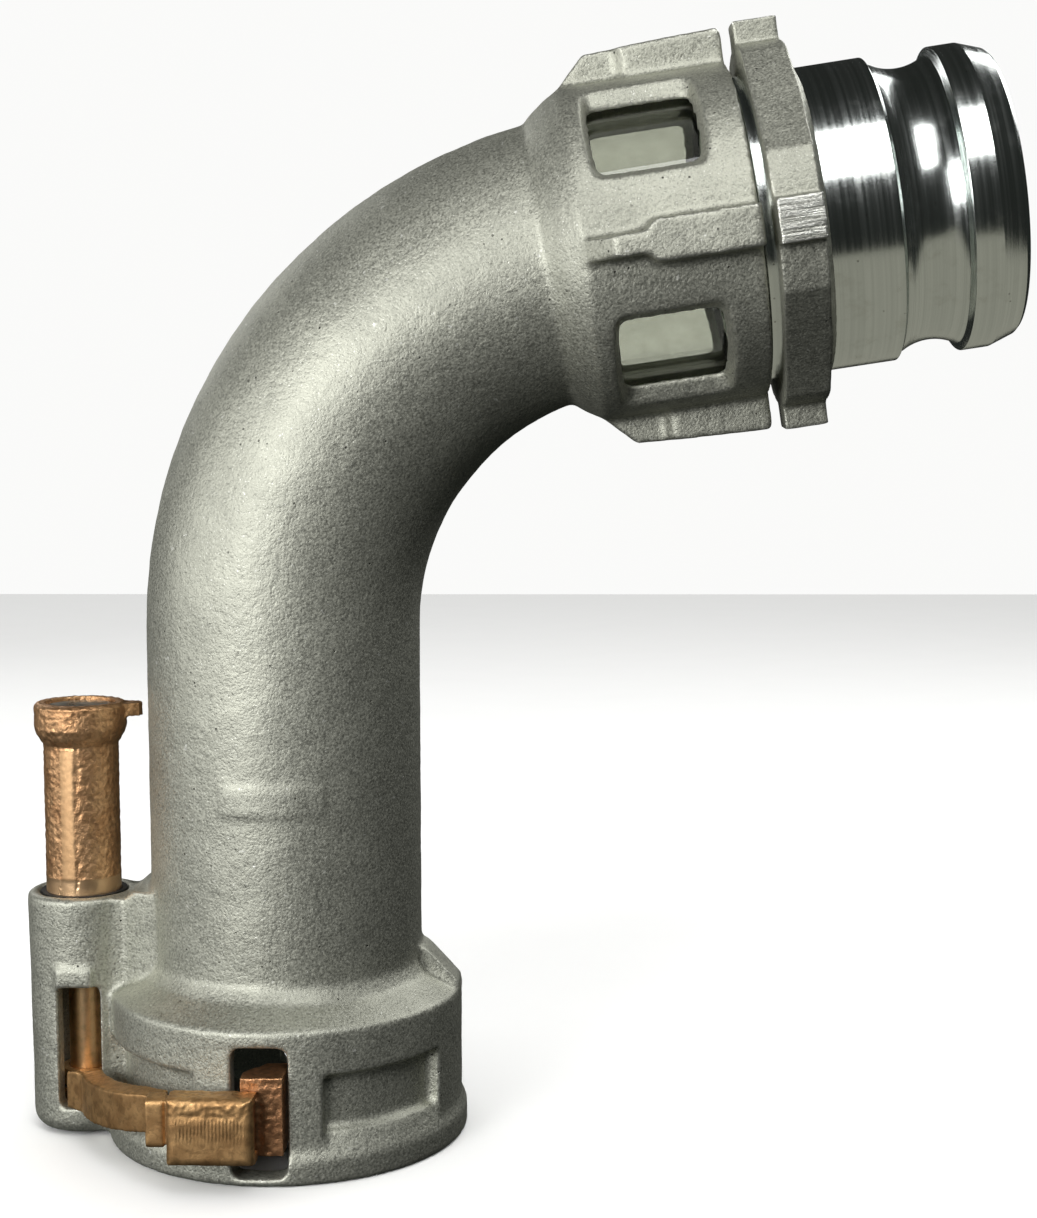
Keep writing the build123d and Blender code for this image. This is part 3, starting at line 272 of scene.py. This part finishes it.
# ---- Materials ----
def cast_aluminium(name, dark, light, milled=None):
    """Blasted sand casting: fine stipple, glints, dark pits, scratches and rubbed edges."""
    shader = Shader(name, Metallic=0.82)
    where = shader.place()
    stipple = shader.noise(where, 0.95, 2.0, 0.6)
    grain = shader.noise(where, 2.1, 2.0, 0.5)
    lumps = shader.noise(where, 9.0, 2.0, 0.5)
    patches = shader.noise(where, 32.0, 3.0, 0.6)
    base = shader.mix(shader.span(patches, 0.3, 0.7), dark, light)
    base = shader.mix(shader.span(stipple, 0.5, 0.68, 0.0, 0.6), base, grey(0.66, 0.09))
    base = shader.mix(shader.span(stipple, 0.48, 0.34, 0.0, 0.6), base, grey(0.26, 0.10))
    glint = shader.span(shader.cells(where, 1.7), 0.16, 0.08)
    base = shader.mix(glint, base, grey(0.78, 0.06))
    pits = shader.times(shader.span(shader.cells(where, 5.2), 0.10, 0.05), shader.span(lumps, 0.45, 0.6))
    base = shader.mix(pits, base, grey(0.06, 0.1))
    bright_lines = shader.scratches((0.4, 0.7, 0.9), 2.4, 0.255)
    dark_lines = shader.scratches((1.3, 0.2, 2.3), 2.0, 0.25)
    base = shader.mix(shader.times(bright_lines, 0.7), base, grey(0.8, 0.05))
    base = shader.mix(shader.times(dark_lines, 0.55), base, grey(0.16, 0.1))
    worn = shader.times(shader.edges(), shader.span(grain, 0.35, 0.6))
    base = shader.mix(shader.times(worn, 0.75), base, grey(0.72, 0.06))
    # Darker in inside corners, found by the mesh's pointiness.
    corner_darkening = shader.times(shader.hollows(), shader.span(grain, 0.2, 0.7))
    base = shader.mix(shader.times(corner_darkening, 0.55), base, grey(0.14, 0.12))
    rough = shader.blend(worn, shader.span(stipple, 0.3, 0.7, 0.46, 0.62), 0.3)
    height = shader.math("ADD", stipple, shader.times(grain, 0.9))
    height = shader.math("SUBTRACT", height, pits)
    normal = shader.bump(height, 0.25, 0.85, shader.bump(lumps, 0.5, 0.6))
    if milled is not None:
        base, rough, normal = milled(shader, base, rough, normal)
    shader.set(Base_Color=base, Roughness=rough, Normal=normal)
    return shader.material


def milled_lugs(shader, base, rough, normal):
    """Fine milled lines along the arm on the outer faces of the four lugs."""
    where = shader.place((1.0, 1.0, 1.0), (0.0, 0.0, -PATTERN_ROLL))
    across = shader.axes(where)
    reach = shader.math("MAXIMUM", shader.math("ABSOLUTE", across[0]), shader.math("ABSOLUTE", across[1]))
    face = shader.span(reach, LUG_REACH_MM - 0.9, LUG_REACH_MM - 0.35)
    lines = shader.noise(shader.place((1.0, 1.0, 0.03), (0.0, 0.0, -PATTERN_ROLL)), 0.8, 3.0, 0.7)
    cut_metal = shader.mix(shader.span(lines, 0.35, 0.65), grey(0.45, 0.08), grey(0.85, 0.05))
    base = shader.mix(face, base, cut_metal)
    rough = shader.blend(face, rough, 0.33)
    cut = shader.bump(shader.times(lines, face), 0.35, 1.0, normal)
    return base, rough, cut


def turned_aluminium():
    """Turned and polished: fine rings round the axis, faint stains and handling marks."""
    shader = Shader("turned_aluminium", Metallic=1.0)
    across = shader.axes(shader.place())
    squares = [shader.math("POWER", side, 2.0) for side in across[:2]]
    radius = shader.math("SQRT", shader.math("ADD", *squares))
    inputs = {0: shader.times(radius, 6.0), 2: across[2]}
    rings = shader.node("ShaderNodeCombineXYZ", None, inputs).outputs[0]
    fine = shader.noise(rings, 0.22, 3.0, 0.7)
    wide = shader.noise(rings, 2.6, 3.0, 0.6)
    stains = shader.noise(shader.place(), 11.0, 4.0, 0.65)
    nicks = shader.span(shader.cells(shader.place((1.0, 1.0, 1.0), (0.4, 0.2, 0.7)), 6.5), 0.075, 0.045)
    base = shader.mix(shader.span(wide, 0.3, 0.7), (0.68, 0.72, 0.70, 1.0), (0.82, 0.86, 0.84, 1.0))
    base = shader.mix(shader.span(stains, 0.55, 0.8, 0.0, 0.35), base, grey(0.5, 0.08))
    base = shader.mix(shader.times(nicks, 0.8), base, grey(0.3, 0.05))
    dull = shader.span(stains, 0.5, 0.8, 0.0, 0.09)
    rough = shader.math("ADD", shader.span(wide, 0.3, 0.7, 0.13, 0.23), dull)
    height = shader.math("ADD", fine, shader.times(wide, 2.0))
    normal = shader.bump(shader.math("SUBTRACT", height, nicks), 0.018, 0.7)
    shader.set(Base_Color=base, Roughness=rough, Normal=normal)
    return shader.material


def cast_bronze(name, dark, light, lump_mm, lump_depth_mm, rough_span, masks=None):
    """Bronze casting: sandy skin with lumps, brown in its hollows and bright on its rubbed edges."""
    shader = Shader(name, Metallic=0.92)
    where = shader.place()
    skin = shader.noise(where, 0.45, 3.0, 0.65)
    lumps = shader.noise(where, lump_mm, 2.0, 0.5, 0.4)
    patches = shader.noise(where, 9.0, 3.0, 0.6)
    base = shader.mix(shader.span(patches, 0.3, 0.72), dark, light)
    base = shader.mix(shader.span(lumps, 0.56, 0.34, 0.0, 0.45), base, shaded(dark, 0.5))
    worn = shader.times(shader.edges(), shader.span(skin, 0.3, 0.6))
    base = shader.mix(shader.times(worn, 0.7), base, shaded(light, 1.5))
    corner_darkening = shader.times(shader.hollows(), 0.6)
    base = shader.mix(corner_darkening, base, (0.05, 0.03, 0.018, 1.0))
    rough = shader.blend(worn, shader.span(skin, 0.3, 0.7, *rough_span), 0.28)
    normal = shader.bump(lumps, lump_depth_mm, 0.8, shader.bump(skin, 0.07, 0.7))
    if masks is not None:
        base, rough, normal = masks(shader, base, rough, normal)
    shader.set(Base_Color=base, Roughness=rough, Normal=normal)
    return shader.material


def post_finish(shader, base, rough, normal):
    """The post's turned journal, and the smoother strip down its front."""
    across = shader.axes(shader.place())
    rings = shader.noise(shader.place((0.02, 0.02, 1.0)), 0.3, 2.0, 0.6)
    journal = shader.span(across[2], POST_MACHINED_TOP / MM + 0.35, POST_MACHINED_TOP / MM - 0.35)
    offset = shader.math("SUBTRACT", across[0], STRIP_X / MM)
    front = shader.span(across[1], -8.0, -12.0)
    wander = shader.math("ADD", shader.math("ABSOLUTE", offset), shader.noise(shader.place(), 2.5, 2.0))
    strip = shader.times(shader.span(wander, 3.5, 3.0), front)
    strip = shader.times(strip, shader.span(across[2], HEAD_START / MM, HEAD_START / MM - 1.5))
    base = shader.mix(shader.times(strip, 0.6), base, (0.78, 0.50, 0.26, 1.0))
    base = shader.mix(journal, base, (0.80, 0.53, 0.30, 1.0))
    rough = shader.blend(strip, rough, 0.46)
    rough = shader.blend(journal, rough, shader.span(rings, 0.3, 0.7, 0.32, 0.42))
    smooth = shader.math("MAXIMUM", journal, shader.times(strip, 0.85))
    turned = shader.bump(rings, 0.03, 0.5)
    skin = shader.node("ShaderNodeMix", {"data_type": "VECTOR"}, {0: smooth, 4: normal, 5: turned})
    return base, rough, skin.outputs[1]


def block_finish(shader, base, rough, normal):
    """The fine upright ribs across the middle of the clamp block's outer face."""
    across = shader.axes(shader.place())
    height = across[2]
    low = shader.span(height, 21.0, 26.0)
    high = shader.span(height, 32.5, 30.5)
    face = shader.span(shader.math("ABSOLUTE", across[1]), BLOCK_FRONT / MM + 12.0, BLOCK_FRONT / MM + 13.0)
    middle = shader.math("ABSOLUTE", shader.math("SUBTRACT", across[0], (BLOCK_X[0] + BLOCK_X[1]) / 2 / MM))
    side = shader.span(middle, 14.0, 12.5)
    area = shader.times(shader.times(low, high), shader.times(face, side))
    ribs = shader.math("SINE", shader.times(across[0], 4.6))
    ribs = shader.times(ribs, shader.span(shader.noise(shader.place(), 4.0, 2.0), 0.3, 0.65))
    ribs = shader.times(ribs, area)
    base = shader.mix(shader.span(ribs, 0.0, -1.0, 0.0, 0.2), base, (0.16, 0.09, 0.045, 1.0))
    return base, rough, shader.bump(ribs, 0.09, 0.8, normal)


def turned_metal(name, colour, rough_span):
    """Turned or ground metal with fine rings round an upright axis."""
    shader = Shader(name, Metallic=1.0)
    rings = shader.noise(shader.place((0.05, 0.05, 1.0)), 0.35, 3.0, 0.6)
    stains = shader.noise(shader.place(), 4.0, 3.0, 0.6)
    base = shader.mix(shader.span(stains, 0.35, 0.75), colour, shaded(colour, 0.72))
    rough = shader.span(rings, 0.3, 0.7, *rough_span)
    shader.set(Base_Color=base, Roughness=rough, Normal=shader.bump(rings, 0.02, 0.5))
    return shader.material


def rubber():
    """Black nitrile with a dusty bloom."""
    shader = Shader("rubber", Metallic=0.0)
    where = shader.place()
    dust = shader.noise(where, 3.0, 4.0, 0.6)
    skin = shader.noise(where, 0.5, 2.0, 0.5)
    base = shader.mix(shader.span(dust, 0.4, 0.75), grey(0.012), grey(0.045, 0.05))
    rough = shader.span(dust, 0.3, 0.7, 0.5, 0.75)
    shader.set(Base_Color=base, Roughness=rough, Normal=shader.bump(skin, 0.05, 0.6))
    return shader.material


def sight_glass():
    """Clear glass with a faint grey tint and a film of smears."""
    shader = Shader("sight_glass", Metallic=0.0, IOR=1.5, Transmission_Weight=1.0)
    smears = shader.noise(shader.place(), 7.0, 4.0, 0.6)
    base = shader.mix(shader.span(smears, 0.35, 0.75), (0.64, 0.655, 0.58, 1.0), (0.58, 0.595, 0.52, 1.0))
    shader.set(Base_Color=base, Roughness=shader.span(smears, 0.35, 0.75, 0.0, 0.06))
    return shader.material


# ---- Mesh building ----
def add_object(name, mesh, material):
    """A new piece in the scene, with its one material."""
    piece = bpy.data.objects.new(name, mesh)
    scene.collection.objects.link(piece)
    mesh.materials.clear()
    mesh.materials.append(material)
    return piece


def apply_modifiers(piece):
    """Leaves the piece with the mesh that its modifiers give, and no modifiers."""
    graph = bpy.context.evaluated_depsgraph_get()
    mesh = bpy.data.meshes.new_from_object(piece.evaluated_get(graph))
    piece.modifiers.clear()
    piece.data = mesh


def soften(piece, voxel_mm, passes):
    """Turns hard edges into the round ones of a casting, by a fine remesh and smoothing."""
    weld = piece.modifiers.new("weld", "WELD")
    weld.merge_threshold = 0.01 * MM
    skin = piece.modifiers.new("skin", "REMESH")
    skin.mode = "VOXEL"
    skin.voxel_size = voxel_mm * MM
    skin.use_smooth_shade = True
    smooth = piece.modifiers.new("smooth", "SMOOTH")
    smooth.factor = 0.5
    smooth.iterations = passes
    apply_modifiers(piece)


def roughen(piece, depth_mm, size_mm, where=None):
    """Sinks the surface by up to depth_mm in lumps of about size_mm, scaled by where(point)."""
    vertices = piece.data.vertices
    normals = [vertex.normal.copy() for vertex in vertices]
    for vertex, normal in zip(vertices, normals):
        share = 1.0 if where is None else where(vertex.co)
        if share > 0:
            lump = 0.5 + 0.5 * noise.noise(vertex.co / (size_mm * MM))
            vertex.co -= normal * (depth_mm * MM * share * lump)
    piece.data.update()


def cast_copy(node, material, voxel_mm, passes, lumps):
    """A CAD node's shape as a casting, standing for that node."""
    piece = add_object(node + "_casting", frame["nodes"][node].data.copy(), material)
    soften(piece, voxel_mm, passes)
    for depth_mm, size_mm, where in lumps:
        roughen(piece, depth_mm, size_mm, where)
    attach(piece, frame["nodes"][node]["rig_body"])
    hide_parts(node)


def rounded(outline):
    """A closed outline with a small curve in place of each corner."""
    corners = [Vector(point) for point in outline]
    result = []
    for index, corner in enumerate(corners):
        before = corners[index - 1] - corner
        after = corners[(index + 1) % len(corners)] - corner
        if before.angle(-after) < SMOOTH_TURN:
            result.append(corner)
            continue
        start = corner + before.normalized() * min(CORNER_REACH_MM, 0.45 * before.length)
        end = corner + after.normalized() * min(CORNER_REACH_MM, 0.45 * after.length)
        for step in range(CORNER_STEPS + 1):
            share = step / CORNER_STEPS
            result.append(start.lerp(corner, share).lerp(corner.lerp(end, share), share))
    return result


def round_the_arm(angle, radius_mm, distance_mm):
    """A point given by its angle and radius round Z, and its distance along Z, in metres."""
    return (radius_mm * math.cos(angle) * MM, radius_mm * math.sin(angle) * MM, distance_mm * MM)


def lathe(name, outline, material):
    """A closed outline of (radius, distance) turned about Z."""
    made = bmesh.new()
    turns = [2 * math.pi * index / LATHE_SEGMENTS for index in range(LATHE_SEGMENTS)]
    rings = []
    for radius, distance in outline:
        rings.append([made.verts.new(round_the_arm(angle, radius, distance)) for angle in turns])
    join_rings(made, rings)
    return add_object(name, finish_mesh(name, made), material)


def join_rings(made, rings):
    """Faces between each ring of points and the next, the last joined to the first."""
    for index, ring in enumerate(rings):
        after = rings[(index + 1) % len(rings)]
        for step in range(len(ring)):
            other = (step + 1) % len(ring)
            made.faces.new((ring[step], ring[other], after[other], after[step]))


def finish_mesh(name, made):
    """A smooth-shaded mesh with its sharp edges marked."""
    bmesh.ops.recalc_face_normals(made, faces=made.faces)
    mesh = bpy.data.meshes.new(name)
    made.to_mesh(mesh)
    made.free()
    mesh.shade_smooth()
    mesh.set_sharp_from_angle(angle=SHARP_EDGE)
    return mesh


def ring_radius(angle):
    """The cast ring's outer radius at an angle: a square with its corners rounded off."""
    quarter = math.pi / 2
    to_flat = (angle - PATTERN_ROLL) % quarter - quarter / 2
    return min(RING_FLAT_MM / math.cos(to_flat), RING_CORNER_MM)


def camlock_adapter(turned, cast):
    """The turned adapter, with the cast ring and its four lugs round it."""
    arc = []
    for index in range(1, GROOVE_STEPS):
        offset = GROOVE_HALF_MM * (2 * index / GROOVE_STEPS - 1)
        radius = GROOVE_CENTRE_RADIUS_MM - math.sqrt(GROOVE_ARC_MM ** 2 - offset ** 2)
        arc.append((radius, GROOVE_MIDDLE_MM + offset))
    outline = rounded([*ADAPTER_OUTLINE_BEFORE_GROOVE, *arc, *ADAPTER_OUTLINE_AFTER_GROOVE])
    body = lathe("camlock_adapter_turned", outline, turned)
    body.matrix_world = ARM
    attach(body, "elbow")
    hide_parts("camlock_adapter")
    light_one("mirrored_floor", (0.9, 1.7), (0.45, 0.2, -0.002), MIRRORED_FLOOR_LIGHT, body, math.pi,
              (1.0, 0.97, 0.80))
    ring = lug_ring(cast)
    ring.matrix_world = ARM
    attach(ring, "elbow")


def lug_ring(cast):
    """The cast ring and lugs as one softened mesh, in the arm's frame."""
    made = bmesh.new()
    rings = [[], [], [], [], []]
    for index in range(RING_SEGMENTS):
        angle = 2 * math.pi * index / RING_SEGMENTS
        outer = ring_radius(angle)
        stations = (
            (RING_BORE_MM, RING_START_MM),
            (outer, RING_START_MM),
            (outer, RING_END_MM - RING_EDGE_MM),
            (min(outer - RING_EDGE_MM, CONE_RADIUS_MM), RING_END_MM),
            (RING_BORE_MM, CONE_END_MM))
        for ring, (radius, distance) in zip(rings, stations):
            ring.append(made.verts.new(round_the_arm(angle, radius, distance)))
    join_rings(made, rings)
    depth = LUG_REACH_MM - LUG_ROOT_MM
    length = LUG_END_MM - RING_START_MM
    size = Matrix.Diagonal((depth * MM, 2 * LUG_HALF_WIDTH_MM * MM, length * MM, 1))
    centre = ((LUG_REACH_MM + LUG_ROOT_MM) / 2, 0, (LUG_END_MM + RING_START_MM) / 2)
    middle = Matrix.Translation([side * MM for side in centre])
    for quarter in range(4):
        turn = Matrix.Rotation(PATTERN_ROLL + quarter * math.pi / 2, 4, "Z")
        bmesh.ops.create_cube(made, size=1.0, matrix=turn @ middle @ size)
    piece = add_object("camlock_adapter_lug_ring", finish_mesh("lug_ring", made), cast)
    soften(piece, voxel_mm=0.75, passes=5)
    roughen(piece, depth_mm=0.25, size_mm=3.5)
    return piece


# ---- Where the castings are hammered or smooth ----
def block_top(point):
    """1 on the hammered upper part of the clamp block, 0 elsewhere."""
    if abs(point.y) < BLOCK_FRONT or not BLOCK_X[0] < point.x < BLOCK_X[1]:
        return 0.0
    return min(1.0, max(0.0, (point.z - 0.030) / 0.003))


def post_skin(point):
    """1 on the post's rough cast part and 0 on its turned journal, apart from the strip down its front.

    The strip is smooth in its middle and rough at its edges, and crosses the journal too.
    """
    strip = abs(point.x - STRIP_X) - 0.0008 * noise.noise(point * 300)
    if strip < 0.004 and point.y < -0.008 and point.z < HEAD_START:
        return min(1.0, max(0.12, (strip - 0.0025) / 0.0015))
    return min(1.0, max(0.0, (point.z - POST_MACHINED_TOP) / 0.001))


def make_pieces():
    """Every piece that isn't a plain CAD node, then the CAD nodes' materials."""
    aluminium = cast_aluminium("cast_aluminium", grey(0.43, 0.10), grey(0.53, 0.10))
    ring_aluminium = cast_aluminium("ring_aluminium", grey(0.40, 0.10), grey(0.50, 0.10), milled_lugs)
    post = cast_bronze(
        "bronze_post", (0.56, 0.31, 0.15, 1), (0.72, 0.44, 0.23, 1),
        lump_mm=1.6, lump_depth_mm=0.4, rough_span=(0.38, 0.55), masks=post_finish)
    arm = cast_bronze(
        "bronze_arm", (0.47, 0.27, 0.115, 1), (0.66, 0.41, 0.185, 1),
        lump_mm=3.0, lump_depth_mm=0.12, rough_span=(0.42, 0.6), masks=block_finish)
    jaw = cast_bronze(
        "bronze_jaw", (0.50, 0.25, 0.12, 1), (0.70, 0.38, 0.19, 1),
        lump_mm=2.2, lump_depth_mm=0.3, rough_span=(0.34, 0.5))
    body_lumps = ((0.35, 14.0, None), (0.16, 2.6, None))
    arm_lumps = ((0.3, 6.0, None), (0.6, 1.9, block_top))
    cast_copy("elbow_body", aluminium, voxel_mm=1.15, passes=7, lumps=body_lumps)
    cast_copy("handle_post", post, voxel_mm=0.5, passes=2, lumps=((0.55, 2.0, post_skin),))
    for side in ("front", "rear"):
        cast_copy(side + "_arm", arm, voxel_mm=0.5, passes=16, lumps=arm_lumps)
        cast_copy(side + "_jaw", jaw, voxel_mm=0.5, passes=7, lumps=((0.5, 2.4, None),))
    camlock_adapter(turned_aluminium(), ring_aluminium)
    paint_cad_nodes()


def return_spring(material):
    """The handle's spring, fixed to the elbow body as one rigid piece, so it doesn't shorten against its
    fixed upper end as the post is lifted.
    """
    piece = add_object("return_spring_coil", frame["nodes"]["return_spring"].data.copy(), material)
    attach(piece, "elbow")
    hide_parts("return_spring")
    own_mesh(piece)


def paint_cad_nodes():
    """The machined pieces that keep their CAD shape, each with its material."""
    steel = turned_metal("steel", grey(0.52, 0.06), (0.25, 0.42))
    by_slot = {
        "bronze_machined": turned_metal("bronze_machined", (0.90, 0.60, 0.32, 1), (0.30, 0.42)),
        "steel": steel,
        "rubber": rubber(),
        "glass": sight_glass()}
    return_spring(steel)
    for part in frame["record"]["subparts"]:
        material = by_slot.get(part["material_slot"])
        if material is not None:
            mesh = frame["nodes"][part["node"]].data
            mesh.materials.clear()
            mesh.materials.append(material)


# ---- Stage, light and camera ----
def make_floor():
    """A plain pale floor, evenly lit by a light of its own."""
    shader = Shader("floor", Metallic=0.0, Roughness=0.9)
    tone = shader.noise(shader.place(), 60.0, 2.0)
    shader.set(Base_Color=shader.mix(tone, (0.79, 0.79, 0.78, 1), (0.81, 0.81, 0.80, 1)))
    mesh = bpy.data.meshes.new("floor")
    corners = [(x * FLOOR_REACH, y * FLOOR_REACH, 0.0) for x, y in ((-1, -1), (1, -1), (1, 1), (-1, 1))]
    mesh.from_pydata(corners, [], [(0, 1, 2, 3)])
    floor = add_object("floor", mesh, shader.material)
    floor.visible_glossy = False
    floor.visible_diffuse = False
    light_one("floor_light", (16.0, 16.0), (0, 0, 3), FLOOR_LIGHT, floor)


def area_light(name, size, power, colour=(1.0, 1.0, 1.0)):
    """A rectangle of light that the camera doesn't see."""
    light = bpy.data.lights.new(name, "AREA")
    light.shape = "RECTANGLE"
    light.size, light.size_y = size
    light.energy = power
    light.color = colour
    lamp = bpy.data.objects.new(name, light)
    lamp.visible_camera = False
    scene.collection.objects.link(lamp)
    return lamp


def light_one(name, size, place, power, lit, turn=0.0, colour=(1.0, 1.0, 1.0)):
    """A level light that falls on one object alone, from above or, when turned over, from below."""
    lamp = area_light(name, size, power, colour)
    lamp.location = place
    lamp.rotation_euler = (turn, 0, 0)
    group = bpy.data.collections.new(name + "_falls_on")
    group.objects.link(lit)
    lamp.light_linking.receiver_collection = group


def make_world():
    """Pale where the camera looks straight or through glass, and a dim room for reflections."""
    world = bpy.data.worlds.new("studio")
    scene.world = world
    world.use_nodes = True
    tree = world.node_tree
    tree.nodes.clear()
    path = tree.nodes.new("ShaderNodeLightPath")
    seen = tree.nodes.new("ShaderNodeMath")
    seen.operation = "MAXIMUM"
    tree.links.new(path.outputs["Is Camera Ray"], seen.inputs[0])
    tree.links.new(path.outputs["Is Transmission Ray"], seen.inputs[1])
    colour = tree.nodes.new("ShaderNodeMix")
    colour.data_type = "RGBA"
    colour.inputs[6].default_value = ROOM
    colour.inputs[7].default_value = PALE
    tree.links.new(seen.outputs[0], colour.inputs[0])
    background = tree.nodes.new("ShaderNodeBackground")
    tree.links.new(colour.outputs[2], background.inputs["Color"])
    output = tree.nodes.new("ShaderNodeOutputWorld")
    tree.links.new(background.outputs[0], output.inputs[0])


def softbox(name, azimuth, elevation, distance, size, power):
    """A soft rectangle of light aimed at the object. Azimuth 0 is the front, positive to the right."""
    box = area_light(name, size, power)
    turn, rise = math.radians(azimuth), math.radians(elevation)
    way = Vector((math.sin(turn) * math.cos(rise), -math.cos(turn) * math.cos(rise), math.sin(rise)))
    box.location = Vector(LIT_POINT) + way * distance
    box.rotation_euler = way.to_track_quat("Z", "Y").to_euler()


def make_lights():
    """Three softboxes in front and two behind."""
    softbox("front_box", 14, 46, 1.4, (0.62, 0.8), 8.6)
    softbox("key_box", -32, 8, 1.4, (0.6, 0.6), 12.2)
    softbox("side_box", -75, 5, 1.4, (0.6, 0.6), 3.8)
    softbox("rear_box", 132, 38, 1.6, (0.8, 0.8), 9.0)
    softbox("rear_left_box", -140, 25, 1.6, (0.6, 0.8), 2.5)


def make_camera():
    data = bpy.data.cameras.new("camera")
    data.lens = CAMERA_LENS_MM
    data.sensor_width = CAMERA_SENSOR_MM
    camera = bpy.data.objects.new("camera", data)
    camera.location = CAMERA_PLACE
    camera.rotation_euler = [math.radians(angle) for angle in CAMERA_DEGREES]
    scene.collection.objects.link(camera)
    scene.camera = camera


make_pieces()
make_floor()
make_world()
make_lights()
make_camera()
